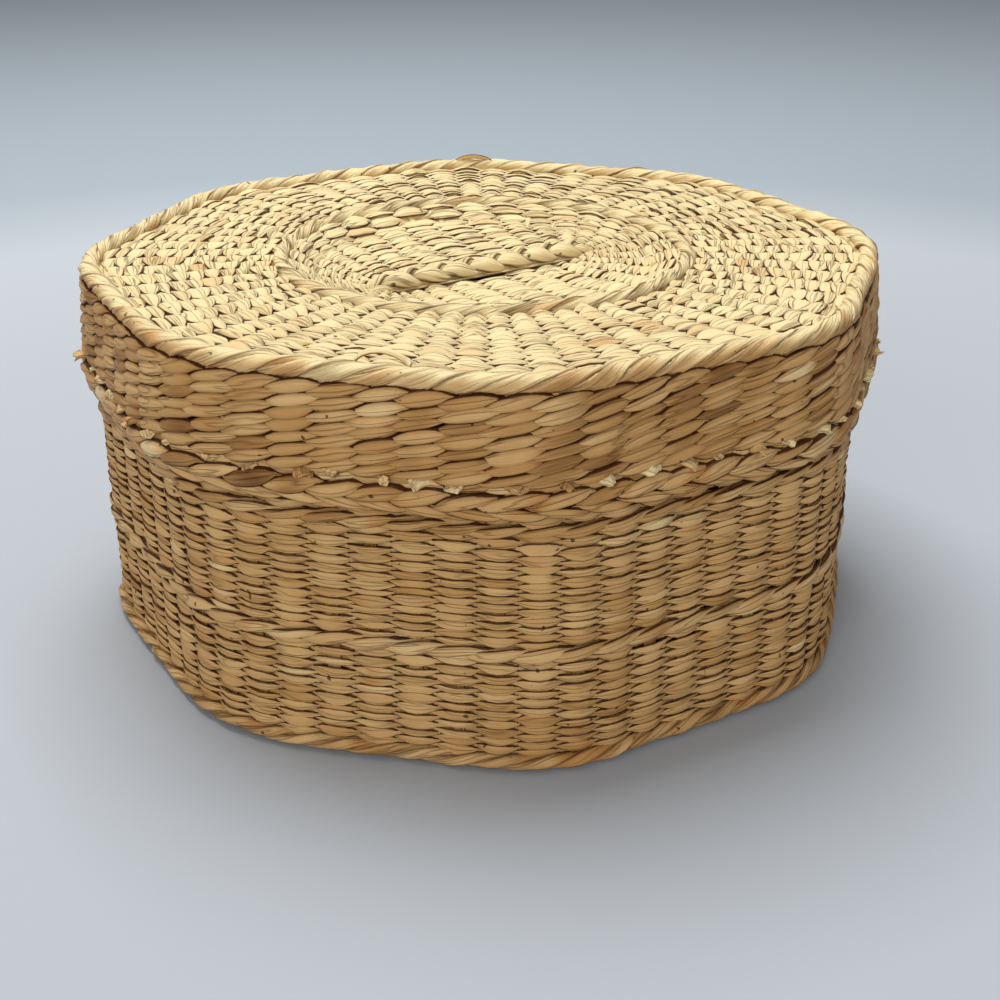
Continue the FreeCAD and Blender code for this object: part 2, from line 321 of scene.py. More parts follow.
def tube(path, side, out, width, thickness, tone, closed, fold=0.0, rim=1.0, power=0.5):
    """Flattened strips. A strip's section at each path point is side * width * cos t ** 0.8 + out * thickness *
    sin t ** power with the signs kept, for t round the circle; a fold lifts the outer face by fold * sin 4t of its
    height. Arrays are (strips, points), and ones that hold vectors end in 3. The UV's across part takes the mean
    width, so that fibres run together where a strip is narrow. Rim is how dark the painted shade on its edges is."""
    width, thickness, tone, fold, rim = (
        np.broadcast_to(a, path.shape[:2]) for a in (width, thickness, tone, fold, rim)
    )
    across = width[..., None] * SECTION_ACROSS
    crease = 1 + fold[..., None] * np.sin(4 * SECTION) * (SECTION_LIFT > 0)
    lift = thickness[..., None] * np.sign(SECTION_LIFT) * np.abs(SECTION_LIFT) ** power * crease
    points = path[..., None, :] + side[..., None, :] * across[..., None] + out[..., None, :] * lift[..., None]
    step = np.linalg.norm(np.diff(path, axis=1, append=path[:, :1]), axis=-1)
    along = np.cumsum(step, 1) - step
    shift = np.arange(path.shape[0])[:, None, None] * STRIP_GAP
    mean = width.mean(1)[:, None, None] * SECTION_ACROSS + 0 * across
    uv = np.stack([np.broadcast_to(along[..., None], across.shape), mean + shift], -1)
    # Edge is the mask of the painted shade on the strip's edges.
    edge = rim[..., None] * np.abs(SECTION_ACROSS)
    return SimpleNamespace(points=points, uv=uv, whole=step.sum(1), tone=tone, edge=edge, closed=closed)


def lay(bed, u, row, depth, width, thickness, roll, tone, closed=True, **look):
    """Strips on a bed. Depth is along the bed's outward direction, width is in rows, roll turns the section from
    lying flat on the bed, and look is the tube's fold, rim and power."""
    origin, across, out, pitch = bed(u, row)
    depth, width, roll = (np.broadcast_to(a, pitch.shape) for a in (depth, width, roll))
    c, n = np.cos(roll)[..., None], np.sin(roll)[..., None]
    path = origin + out * depth[..., None]
    return tube(path, across * c - out * n, across * n + out * c, width * pitch, thickness, tone, closed, **look)


def tip(side, start):
    """Rim that grows by half where a strip dips behind its neighbour: its painted edge shade meets in a point."""
    return 1 + 0.5 * np.clip(1 - np.abs(side) / start, 0, 1)


def randing(bed, rows, columns, random, swing, thickness, middle=0.0, spiral=0, narrow=0.5, full=1.2, drift=0.5,
            spread=0.05, lap=-0.16):
    """Over-one-under-one. A strip's depth is middle + swing * cos(pi * (u + row)), so it passes outside every
    second stake and its neighbours the others. Its half width in rows is full over a stake, and narrow where it dips
    between two stakes. All rows drift up and down together in three slow waves round the basket, most in the middle
    row. Lap is the roll that lays each strip's edge over its neighbour's. A spiral is one strip that climbs a row on
    each turn of that many stakes."""
    if spiral:
        rows, columns = 1, rows * columns
    u = (np.arange(columns)[:, None] + STEPS).reshape(1, -1)
    if spiral:
        turns = columns // spiral
        widths = np.ones((1, 1))
        centre = 0.5 + (u + 0.5) / spiral
    else:
        turns = rows
        widths = 1 + random.uniform(-0.22, 0.22, (rows, 1))
        widths *= rows / widths.sum()
        centre = np.cumsum(widths, 0) - widths / 2
        u = np.repeat(u, rows, 0)
    side = np.cos(np.pi * (u + np.arange(rows)[:, None]))
    bulge = np.abs(side) ** 0.7
    fat = 1 + cells(random, rows, columns, UNEVEN)
    width = widths * fat * (narrow + (full - narrow) * bulge)
    wave = 2 * np.pi * u / (spiral or columns)
    wander = np.sin(2 * wave + 0.9) + 0.7 * np.sin(5 * wave + 2.0) + 0.5 * np.sin(11 * wave + 0.3)
    centre = centre + drift * np.sin(np.pi * centre / turns) * wander
    centre = centre + cells(random, rows, columns, UNEVEN) * widths * bulge
    depth = middle + swing * side * (1 + cells(random, rows, columns, 0.08)) + cells(random, rows, columns, UNEVEN)
    roll = (cells(random, rows, columns, UNEVEN) + lap * np.sign(side)) * bulge
    tone = 0.5 + random.normal(0, spread * 0.6, (rows, 1)) + cells(random, rows, columns, spread)
    tone = tone + pale_cells(random, rows, columns)
    thick = thickness / 2 * (0.75 + 0.25 * bulge)
    if spiral:
        ends = np.minimum(1, np.minimum(u - u[0, 0], u[0, -1] - u) / 0.6 + 0.05)
        width, thick = width * ends, thick * ends
        centre = np.minimum(centre, turns - 0.2)
    fold = cells(random, rows, columns, 0.28)
    # The strips' edges get painted shade, deeper where a strip dips behind its neighbour.
    return lay(bed, u, centre, depth, width, thick, roll, tone, not spiral, fold=fold, rim=tip(side, 0.5))


def twining(bed, strands, columns, random, swing, rise, width, thickness, row=0.0, middle=0.0, turning=0.0, tone=0.5,
            spread=0.07, leaf=0.3, rough=1.0, rim=1.0, power=0.7, inner_painted_light=0.0):
    """Strands twisted round each other between the stakes. Strand number n of N has the angle
    2 * pi * (u - n) / N; its depth is middle + swing * cos(angle) and its row is row + rise * sin(angle), so each
    stake has one strand outside it, which rises to the right if rise is positive. Of two strands, the outer one lies
    outside for longer, tanh(2 * cos(angle) + 0.9), rises on a straight line, and its width is a lens,
    1 - (turn / 0.78) ** 2.4 for turn = angle / pi, so that its pointed ends overlap its neighbours'. Turning is how
    much the section turns with it, leaf how much thinner a strand is at the back, rough scales the differences from
    cell to cell, and the last argument how much paler the rope is painted towards its inner side: painted light."""
    u = np.repeat((np.arange(columns)[:, None] + STEPS).reshape(1, -1), strands, 0)
    strand = np.arange(strands)[:, None]
    vary = [rough * cells(random, strands, columns, 1.0) for _ in range(6)]
    angle = 2 * np.pi * (u - strand + random.normal(0, 0.04) + 0.05 * vary[5]) / strands
    front = np.abs(np.cos(angle)) ** 0.9
    fullness = 1 - leaf + leaf * front
    outside, climb = np.cos(angle), np.sin(angle)
    # Dark is how deep the painted shade on the strands' edges is, deeper where a strand dips behind another.
    dark = rim if turning else rim * tip(outside, 0.7)
    if strands == 2:
        turn = (angle / np.pi + 1) % 2 - 1
        fullness = np.maximum(1 - np.abs(turn / 0.78) ** 2.4, 0.14)
        outside = np.tanh(2 * outside + 0.9)
        climb = np.interp(turn, (-1, -0.68, 0.68, 1), (0, -1, 1, 0))
        dark = rim * (1 + 0.5 * np.clip((np.abs(turn) - 0.42) / 0.3, 0, 1))
    return lay(
        bed, u,
        row + rise * climb + 0.08 * width * vary[0],
        middle + swing * outside + 0.1 * swing * vary[1],
        width * fullness * (1 + 0.1 * vary[2]),
        thickness / 2 * (1 - leaf / 3 + leaf / 3 * front),
        turning * angle + UNEVEN * vary[3],
        tone - inner_painted_light * np.cos(angle) + spread * cells(random, strands, columns, 1.0)
        + random.normal(0, 0.05, (strands, 1)),
        fold=0.22 * vary[4], rim=dark, power=power,
    )


def loose(bed, start, end, first, last, arch, depth, width):
    """A strand that came loose: between two stake positions it arches over its line by arch * sin(pi t), for t from 0
    to 1 along it, and both ends go back into the weave."""
    t = np.linspace(0, 1, 13)[None]
    row = first + (last - first) * t + arch * np.sin(np.pi * t) - 1.2 * (2 * t - 1) ** 6
    u = start + (end - start) * t
    return lay(bed, u, row, depth, width, thickness=0.6, roll=0.9, tone=0.85 + 0 * t, closed=False)


def turned(part, angle):
    """A part turned about the vertical by an angle."""
    c, n = math.cos(angle), math.sin(angle)
    part.points = part.points @ np.array([[c, n, 0], [-n, c, 0], [0, 0, 1.0]])
    return part


def settle(points):
    """Handmade unevenness: the radius swells and shrinks by about a millimetre in slow waves round the basket, the
    same for all the pieces, so that they stay together. Each wave is a sine of a multiple of the angle; it fades to
    nothing at the axis."""
    angle = np.arctan2(points[..., 1], points[..., 0])
    radius = np.hypot(points[..., 0], points[..., 1])
    waves = ((0.55, 2, 0.6), (0.40, 3, 2.1), (0.30, 7, 0.4), (0.25, 11, 1.3))
    wave = sum(height * np.sin(count * angle + start) for height, count, start in waves)
    scale = 1 + wave * np.minimum(radius / 100, 1) / np.maximum(radius, 1)
    return points * np.stack([scale, scale, np.ones_like(scale)], -1)


def weave_mesh(name, parts):
    """Mesh of tubes. Faces join each section's points to the next section's; an open strip's ends are closed by a
    face each. A part whose signed volume, the sum of v0 . (v1 x v2 + v2 x v3) over its faces, is negative is turned
    round, so that faces point outward."""
    vertices, corners, sizes_of, maps, tones, edges, base = [], [], [], [], [], [], 0
    for part in parts:
        points = settle(part.points)
        strips, count, facets = points.shape[:3]
        index = np.arange(strips * count * facets).reshape(strips, count, facets)
        steps = count if part.closed else count - 1
        here, there = index[:, :steps], np.roll(index, -1, 1)[:, :steps]
        quads = np.stack([here, there, np.roll(there, -1, 2), np.roll(here, -1, 2)], -1)
        flat = points.reshape(-1, 3)
        uv = part.uv.reshape(-1, 2)[quads]
        if part.closed:
            uv[:, -1, :, 1:3, 0] += part.whole[:, None, None]
        v0, v1, v2, v3 = flat[quads.reshape(-1, 4)].swapaxes(0, 1)
        volume = (v0 * (np.cross(v1, v2) + np.cross(v2, v3))).sum()
        quads, uv = quads.reshape(-1, 4), uv.reshape(-1, 4, 2)
        if volume < 0:
            quads, uv = quads[:, ::-1], uv[:, ::-1]
        corners.append((quads + base).ravel())
        sizes_of.append(np.full(len(quads), 4))
        maps.append(uv.reshape(-1, 2))
        if not part.closed:
            caps = np.concatenate([index[:, 0, ::-1], index[:, -1]])
            if volume < 0:
                caps = caps[:, ::-1]
            corners.append((caps + base).ravel())
            sizes_of.append(np.full(len(caps), facets))
            maps.append(part.uv.reshape(-1, 2)[caps].reshape(-1, 2))
        vertices.append(flat)
        tones.append(np.repeat(part.tone.ravel(), facets))
        edges.append(part.edge.ravel())
        base += len(flat)
    vertices, corners, sizes_of, maps = (np.concatenate(a) for a in (vertices, corners, sizes_of, maps))
    mesh = bpy.data.meshes.new(name)
    mesh.vertices.add(len(vertices))
    mesh.vertices.foreach_set("co", (vertices * MM).astype(np.float32).ravel())
    mesh.loops.add(len(corners))
    mesh.loops.foreach_set("vertex_index", corners.astype(np.int32))
    mesh.polygons.add(len(sizes_of))
    mesh.polygons.foreach_set("loop_start", (np.cumsum(sizes_of) - sizes_of).astype(np.int32))
    mesh.polygons.foreach_set("use_smooth", sizes_of == 4)
    mesh.uv_layers.new(name="Strip").uv.foreach_set("vector", (maps * MM).astype(np.float32).ravel())
    # The edge attribute is the mask of the painted shade on the strips' edges.
    for key, values in (("tone", tones), ("edge", edges)):
        shade = mesh.attributes.new(key, "FLOAT", "POINT")
        shade.data.foreach_set("value", np.concatenate(values).astype(np.float32))
    mesh.update(calc_edges=True)
    mesh.validate()
    return mesh


def new_object(name, data):
    """An object of the scene, at the origin."""
    made = bpy.data.objects.new(name, data)
    bpy.context.scene.collection.objects.link(made)
    return made


def place(name, parts, material, body, slot, node):
    """Makes a piece of strips, which rides on a body and stands for a CAD node."""
    piece = new_object(name, weave_mesh(name, parts))
    piece.data.materials.append(material)
    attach(piece, body)
    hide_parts(node)


def place_on_lid(s, name, parts, material, slot, node):
    """Makes a piece of the lid, turned as the lid is."""
    place(name, [turned(part, s.lid_turn) for part in parts], material, "lid", slot, node)


# Materials.


def empty_tree(owner):
    """The emptied node tree of a material or of the world."""
    owner.use_nodes = True
    owner.node_tree.nodes.clear()
    return owner.node_tree


def add(tree, kind, settings=None, **sockets):
    """Adds a node, sets its properties, and sets or links its inputs by name, with _ for a space. A ramp's stops
    are (position, colour) pairs."""
    node = tree.nodes.new(kind)
    for name, value in (settings or {}).items():
        if name == "stops":
            ramp = node.color_ramp.elements
            while len(ramp) < len(value):
                ramp.new(1.0)
            for element, (position, shade) in zip(ramp, value):
                element.position, element.color = position, shade
        else:
            setattr(node, name, value)
    for name, value in sockets.items():
        socket = node.inputs[int(name[1:])] if name[1:].isdigit() else node.inputs[name.replace("_", " ")]
        if isinstance(value, bpy.types.NodeSocket):
            tree.links.new(value, socket)
        else:
            socket.default_value = value
    return node


# Stops of a leaf's ramp, as the tone and the colour there.
LEAF = ((0.08, "fold"), (0.36, "tan"), (0.66, "straw"), (0.98, "bleached"))
# The lid's paler ramp: partly the lid top's own bleached colour, partly painted light from above.
PALE = ((0.0, "tan"), (0.28, "straw"), (0.62, "bleached"))


def leaf_material(name, shades=LEAF, lift=0.0, rust=0.3, roughness=0.62, crease=0.3, fibres=0.22, bump=0.0006,
                  sun=0.0, painted_shade=0.0):
    """Dried sedge leaf, cut green, dried and woven damp. The eye gets long fibres along the strip, a few folded
    creases, a slow change from tan to straw along each leaf, and a dull sheen on the ridges of the fibres. Shades are
    the stops of its ramp and lift moves its tone along them; rust is the share of rusty tint, crease how dark creases
    are, fibres how strong fibres are, bump the depth of the relief in metres, sun how much paler upward faces are
    painted, as painted light from above, and the last argument how much darker the edges are: painted shade."""
    colours = bpy.context.scene.warmer_colours
    material = bpy.data.materials.new(name)
    tree = empty_tree(material)
    strip = add(tree, "ShaderNodeUVMap", {"uv_map": "Strip"}).outputs["UV"]
    tone = add(tree, "ShaderNodeAttribute", {"attribute_name": "tone"}).outputs["Fac"]
    coordinates = add(tree, "ShaderNodeTexCoord").outputs
    spot = coordinates["Object"]

    def noise(vector, along, across, detail):
        """Noise whose grains are that long and wide in metres; without a width they are round."""
        if across:
            vector = add(tree, "ShaderNodeMapping", Vector=vector, Scale=(1 / along, 1 / across, 1.0)).outputs[0]
        scale = 1.0 if across else 1 / along
        return add(tree, "ShaderNodeTexNoise", Vector=vector, Scale=scale, Detail=detail).outputs["Fac"]

    def ramped(value, low, high, top):
        """Share that rises from 0 at low to top at high."""
        return add(tree, "ShaderNodeMapRange", Value=value, From_Min=low, From_Max=high, To_Max=top).outputs[0]

    def over(share, under, shade):
        """A colour laid over the one so far."""
        return add(tree, "ShaderNodeMix", {"data_type": "RGBA"}, _0=share, _6=under, _7=tuple(shade)).outputs[2]

    def maths(kind, *values):
        """Result of one step of arithmetic."""
        inputs = {f"_{i}": value for i, value in enumerate(values)}
        return add(tree, "ShaderNodeMath", {"operation": kind}, **inputs).outputs[0]

    # Fibres are 0.35 mm wide and run for about 14 mm; folds are 1.9 mm wide; stains are about 30 mm across.
    fibre = noise(strip, 0.014, 0.00035, 3.0)
    fold = noise(strip, 0.03, 0.0019, 1.0)
    crack = maths("SUBTRACT", 1.0, ramped(maths("ABSOLUTE", maths("SUBTRACT", fold, 0.5)), 0.0, 0.03, 1.0))
    # Painted light: faces that look up are painted paler, as light from above.
    facing_up_painted_light = add(tree, "ShaderNodeSeparateXYZ", Vector=coordinates["Normal"]).outputs["Z"]
    mixed = maths("MULTIPLY_ADD", maths("MAXIMUM", facing_up_painted_light, 0.0), sun, maths("ADD", tone, lift))
    for grain, share in ((fibre, fibres), (noise(strip, 0.02, 0.006, 1.0), 0.3), (noise(spot, 0.03, 0, 2.0), 0.25)):
        mixed = maths("ADD", mixed, maths("MULTIPLY_ADD", grain, share, -share / 2))
    shade = add(
        tree, "ShaderNodeValToRGB", {"stops": [(p, getattr(colours, c)) for p, c in shades]}, Fac=mixed
    ).outputs["Color"]
    shade = over(ramped(noise(spot, 0.017, 0, 1.0), 1 - rust, 1.1 - rust, 0.5), shade, colours.rust)
    shade = over(maths("MULTIPLY", crack, crease), shade, colours.fold)
    # Painted shade: a strip is painted darker towards its edges, in a wide soft band and a dark line at the very edge.
    edge = add(tree, "ShaderNodeAttribute", {"attribute_name": "edge"}).outputs["Fac"]
    shade = over(ramped(edge, 0.45, 1.0, painted_shade), shade, colours.fold)
    shade = over(ramped(edge, 0.89, 0.99, 0.94), shade, colours.edge)
    # Mildew specks are about 1 mm across, only here and there.
    shade = over(ramped(noise(spot, 0.0022, 0, 0.0), 0.825, 0.845, 0.85), shade, colours.speck)
    height = maths("MULTIPLY_ADD", crack, -0.8, maths("MULTIPLY_ADD", fold, 1.6, fibre))
    relief = add(tree, "ShaderNodeBump", Strength=0.7, Distance=bump, Height=height).outputs["Normal"]
    rough = maths("MULTIPLY_ADD", fibre, 0.5, roughness - 0.25)
    surface = add(tree, "ShaderNodeBsdfPrincipled", Base_Color=shade, Roughness=rough, Normal=relief, IOR=1.45)
    surface.inputs["Specular IOR Level"].default_value = 0.2
    add(tree, "ShaderNodeOutputMaterial", Surface=surface.outputs[0])
    return material


def material_for(name):
    """The material of that name, made when it is first asked for. Its values are what sets it off from a plain leaf."""
    # Sun is painted light from above on upward faces; the share that darkens strips' edges is painted shade.
    recipes = {
        "dried_sedge_strip": dict(rust=0.31, fibres=0.26),
        "twined_sedge_leaf": dict(rust=0.34, roughness=0.58, bump=0.0009, painted_shade=0.45),
        "sun_bleached_sedge": dict(shades=PALE, lift=0.06, rust=0.28, crease=0.6, bump=0.0008, sun=0.04, painted_shade=0.15),
        "twisted_sedge_rope": dict(
            lift=0.04, rust=0.4, roughness=0.5, crease=0.45, fibres=0.24, bump=0.0008, painted_shade=0.35
        ),
        "sun_faced_sedge_rope": dict(lift=-0.1, roughness=0.5, crease=0.15, fibres=0.2, sun=0.42),
        "split_sedge_stake": dict(lift=-0.05, roughness=0.66, crease=0.5, fibres=0.4),
        "cut_sedge_end": dict(lift=0.1, roughness=0.75, fibres=0.5, bump=0.0005, sun=0.2),
    }
    return bpy.data.materials.get(name) or leaf_material(name, **recipes[name])


# Pieces.


class WarmerPiece:
    """What all the operators are to Blender."""

    bl_options = {"REGISTER"}


class WARMER_OT_wall_weave(WarmerPiece, bpy.types.Operator):
    """Weaves the basket's three bands of over-one-under-one strips."""

    bl_idname = "warmer.wall_weave"
    bl_label = "Wall weave"

    def execute(self, context):
        s = sizes(context)
        strip = material_for("dried_sedge_strip")
        bands = (
            ("wall_lower_weave", s.wall_rows_lower, 0.0, 11),
            ("wall_upper_weave", s.wall_rows_upper, 0.0, 12),
            ("wall_rim_weave", s.wall_rows_rim, s.rim_shift, 13),
        )
        for node, rows, shift, seed in bands:
            bottom, top = levels(node)
            lean = -shift / (top - bottom)
            bed = wall_bed(s, bottom, (top - bottom) / rows, lean)
            random = seeded(seed)
            weave = randing(bed, rows, s.stakes, random, s.wall_swing, s.strip_thickness, -s.wall_depth)
            place(node + "_strips", [weave], strip, "basket", "strip_weave", node)
        return {"FINISHED"}


def wall_rope(s, node, seed, raised=0.0, inward=0.0, **twist):
    """Three-strand rope round the wall at the height of its CAD node, raised and set inward by millimetres."""
    bottom, top = levels(node)
    bed = wall_bed(s, (bottom + top) / 2 + raised, 1.0, offset=-inward)
    strands = twining(bed, 3, s.stakes, seeded(seed), **twist)
    place(node + "_strands", [strands], material_for("twisted_sedge_rope"), "basket", "twined_rope", node)


class WARMER_OT_wall_ropes(WarmerPiece, bpy.types.Operator):
    """Twines the bands of the wall, the edge that the basket stands on and the border of the rim."""

    bl_idname = "warmer.wall_ropes"
    bl_label = "Wall ropes"

    def execute(self, context):
        s = sizes(context)
        # The neck rope's lower tone is painted shade: it lies in the shade under the lid.
        for node, seed, tone in (("wall_middle_rope", 21, 0.58), ("wall_neck_rope", 22, 0.42)):
            bottom, top = levels(node)
            half = (top - bottom) / 2
            wall_rope(
                s, node, seed, swing=1.4, rise=half * 0.5, width=half * 0.92, thickness=1.8, middle=-1.2, tone=tone,
                leaf=0.55, rim=1.04,
            )
        rolled = dict(turning=1.0, rim=0.955)
        wall_rope(
            s, "base_edge_rope", 23, raised=0.5, swing=1.25, rise=1.1, width=1.6, thickness=2.2, middle=-0.75, **rolled
        )
        wall_rope(
            s, "rim_border", 24, inward=s.rim_shift + 1.9, swing=0.85, rise=0.62, width=1.35, thickness=1.5, **rolled
        )
        return {"FINISHED"}


def stake_ribbons(s, random, strip_height, bend, low, high, shade):
    """Stakes as flat strips: each runs level from the ring to the wall, then along the wall from height low to
    high, where bend gives the plan offset of a height. The path is two straight lines with the corner between
    them cut by a short slanted run. Shade is their mean tone."""
    stake = np.arange(s.stakes) + 0.0
    start = direction(stake_angle(s)(stake)) * (s.ring_radius - s.ring_width / 2)
    corner, normal = plan(stake, bend(strip_height), s)
    path = [start + (corner - normal * 1.2 - start) * share + UP * strip_height for share in np.linspace(0, 1, 8)]
    path += [plan(stake, bend(z), s)[0] + UP * z for z in np.linspace(low, high, 9)]
    path = np.stack(path, 1)
    run = unit(np.gradient(path, axis=1))
    side = np.repeat(unit(left_of(normal))[:, None], path.shape[1], 1)
    width = s.stake_width / 2 * (1 + random.uniform(-0.12, 0.08, (s.stakes, 1)))
    tone = shade + random.normal(0, 0.1, (s.stakes, 1)) + 0 * path[..., 0]
    return tube(path, side, unit(np.cross(side, run)), width, thickness=0.5, tone=tone, closed=False)


class WARMER_OT_stakes(WarmerPiece, bpy.types.Operator):
    """Bends the flat stakes of the basket and of the lid, and the radial strips of their middles."""

    bl_idname = "warmer.stakes"
    bl_label = "Stakes"

    def execute(self, context):
        s = sizes(context)
        stake = material_for("split_sedge_stake")
        top = levels("basket_stakes")[1]
        neck = levels("wall_rim_weave")[0]
        middle = sum(levels("base_outer_weave")) / 2

        def wall(z):
            return -s.wall_depth - s.rim_shift * np.clip((z - neck) / (top - neck), 0, 1)

        ribbons = stake_ribbons(s, seeded(31), middle, wall, middle + 1.5, top, 0.45)
        place("basket_stakes_split", [ribbons], stake, "basket", "stakes", "basket_stakes")

        def lid_wall(z):
            return lid_offset(s, z) + 0.9

        plate = levels("lid_outer_weave")
        foot = levels("lid_stakes")[0]
        ribbons = stake_ribbons(s, seeded(32), sum(plate) / 2, lid_wall, plate[0] - 1.0, foot, 0.5)
        place_on_lid(s, "lid_stakes_split", [ribbons], stake, "stakes", "lid_stakes")
        for body, where, up, material, seed in (
            ("basket", "base", -1, stake, 33),
            ("lid", "lid", 1, material_for("sun_bleached_sedge"), 34),
        ):
            random = seeded(seed)
            count = s.stakes // 2
            spoke = direction(2 * np.pi * np.arange(count) / count)[:, None]
            reach = np.linspace(17, s.ring_radius - s.ring_width, 10)
            path = spoke * reach[:, None]
            path[..., 2] = middle_height(s, *levels(where + "_inner_weave"), up)(reach)
            side = left_of(spoke) + 0 * path
            out = unit(np.cross(side, unit(np.gradient(path, axis=1))))
            tone = 0.45 + random.normal(0, 0.1, (count, 1)) + 0 * path[..., 0]
            ribbons = tube(path, side, out, width=1.2, thickness=0.45, tone=tone, closed=False, rim=0.8)
            node = where + "_inner_stakes"
            place(node + "_split", [ribbons], material, body, "stakes", node)
        return {"FINISHED"}


def middle_height(s, low, high, up):
    """Height of the middle weave's centre surface over the radius: half of the dish's depth is a smooth step from
    25 mm to the ring, and half a steeper one from 50 mm."""
    thickness = 3.4 if up > 0 else 3.2
    dish = high - low - thickness
    reach = s.ring_radius - s.ring_width

    def height(radius):
        share = 0.5 * smooth((radius - 50) / (reach - 50)) + 0.5 * smooth((radius - 25) / (reach - 25))
        return low + thickness / 2 + dish * share if up > 0 else high - thickness / 2 - dish * share

    return height


class WARMER_OT_plates(WarmerPiece, bpy.types.Operator):
    """Weaves the base and the lid's top: a spiral round the plait, and rings from the ring rope to the edge."""

    bl_idname = "warmer.plates"
    bl_label = "Base and lid top"

    def execute(self, context):
        s = sizes(context)
        count = s.stakes // 2
        for body, where, up, slot, name, turn, seed in (
            ("basket", "base", -1, "strip_weave", "dried_sedge_strip", 0.0, 41),
            ("lid", "lid", 1, "lid_weave", "sun_bleached_sedge", s.lid_turn, 43),
        ):
            strip = material_for(name)
            weave = where + "_inner_weave"
            circle = round_line(s.ring_radius - s.ring_width, middle_angle(s))
            bed = plate_bed(plait_line(s), circle, s.middle_turns, middle_height(s, *levels(weave), up), up)
            spiral = randing(
                bed, s.middle_turns, count, seeded(seed), swing=0.8, thickness=1.2, spiral=count,
                narrow=0.58, full=1.32, drift=0.3, spread=0.07, lap=0.07,
            )
            place(weave + "_strips", [spiral], strip, body, slot, weave)
            weave = where + "_outer_weave"
            middle = sum(levels(weave)) / 2
            ring = round_line(s.ring_radius, stake_angle(s))
            bed = plate_bed(
                ring, lambda u: plan(u, PLATE_EDGE, s)[0], s.plate_rows, lambda radius, z=middle: z + 0 * radius, up
            )
            rings = randing(
                bed, s.plate_rows, s.stakes, seeded(seed + 1), swing=0.75, thickness=1.25,
                narrow=0.6, full=1.32, drift=0.45, spread=0.07, lap=0.07,
            )
            place(weave + "_strips", [turned(rings, turn)], strip, body, slot, weave)
        return {"FINISHED"}


class WARMER_OT_ring_ropes(WarmerPiece, bpy.types.Operator):
    """Twines the round rope where each stake pair of base and lid splits in two."""

    bl_idname = "warmer.ring_ropes"
    bl_label = "Ring ropes"

    def execute(self, context):
        s = sizes(context)
        for body, node, name, seed in (
            ("basket", "base_ring_rope", "twisted_sedge_rope", 51),
            ("lid", "lid_ring_rope", "sun_bleached_sedge", 52),
        ):
            strands = twining(
                ring_bed(s, sum(levels(node)) / 2 + 0.1), 3, s.stakes // 2, seeded(seed),
                swing=1.3, rise=1.0, width=2.1, thickness=2.0, turning=1.0, tone=0.55, rim=0.97,
            )
            place(node + "_strands", [strands], material_for(name), body, "twined_rope", node)
        return {"FINISHED"}


class WARMER_OT_lid_side(WarmerPiece, bpy.types.Operator):
    """Twines the lid's side, its thick edge, its border and its hem."""

    bl_idname = "warmer.lid_side"
    bl_label = "Lid side"

    def execute(self, context):
        s = sizes(context)
        rope = material_for("twisted_sedge_rope")
        bottom, top = levels("lid_side_weave")
        bed = wall_bed(s, bottom, (top - bottom) / s.side_rows, -s.lid_lean, lid_offset(s, bottom))
        random = seeded(61)
        rows = [
            twining(
                bed, 2, s.stakes, random, swing=0.9, rise=0.46, width=0.65, thickness=3.3, row=row + 0.5, middle=0.65,
                tone=0.42, spread=0.08, rough=1.1, rim=1.13, power=0.95,
            )
            for row in range(s.side_rows)
        ]
        place_on_lid(s, "lid_side_rows", rows, material_for("twined_sedge_leaf"), "strip_weave", "lid_side_weave")

        # The rope sits on the corner of the lid: its middle is 2.65 mm inside the side's outer face.
        height = sum(levels("lid_edge_rope")) / 2 + 0.2
        bed = wall_bed(s, height, 1.0, offset=-s.lid_side_top + 2.4 - 2.65)
        strands = twining(
            bed, 3, s.stakes, seeded(62), swing=1.35, rise=1.3, width=2.4, thickness=2.6, turning=1.0,
            tone=0.78, spread=0.08, rim=0.965, inner_painted_light=0.15,
        )
        back = loose(bed, 22.0, 23.5, 2.0, 2.0, 1.9, -0.8, 1.2)
        front = loose(bed, 52.2, 53.5, 1.6, 1.4, 2.2, -7.0, 0.9)
        # This rope is painted light: paler on faces that look up and towards its inner side.
        material = material_for("sun_faced_sedge_rope")
        place_on_lid(s, "lid_edge_strands", [strands, back, front], material, "twined_rope", "lid_edge_rope")

        # The border's folded stakes lie over a row that fills the gap to the side above it.
        low, high = levels("lid_border_rope")
        foot = lid_offset(s, low)
        bed = wall_bed(s, (low + high) / 2 + 0.3, 1.0, -s.lid_lean, foot + 0.4)
        strands = twining(
            bed, 2, s.stakes, seeded(63), swing=1.0, rise=1.6, width=2.5, thickness=3.8, middle=0.1,
            spread=0.12, rough=1.2, rim=1.13, power=0.95,
        )
        bed = wall_bed(s, high + 0.9, 1.0, -s.lid_lean, foot - 0.4)
        backing = twining(
            bed, 2, s.stakes, random, swing=0.9, rise=0.5, width=1.7, thickness=1.6, middle=-0.2, tone=0.45
        )
        place_on_lid(s, "lid_border_strands", [strands, backing], rope, "twined_rope", "lid_border_rope")

        bed = wall_bed(s, sum(levels("lid_hem_rope")) / 2 + 0.6, 1.0, -s.lid_lean, foot + 0.5)
        strands = twining(
            bed, 2, s.stakes, seeded(64), swing=0.8, rise=-1.0, width=1.6, thickness=2.2, middle=-0.1,
            tone=0.45, rim=1.12, power=0.95,
        )
        place_on_lid(s, "lid_hem_strands", [strands], rope, "twined_rope", "lid_hem_rope")
        return {"FINISHED"}


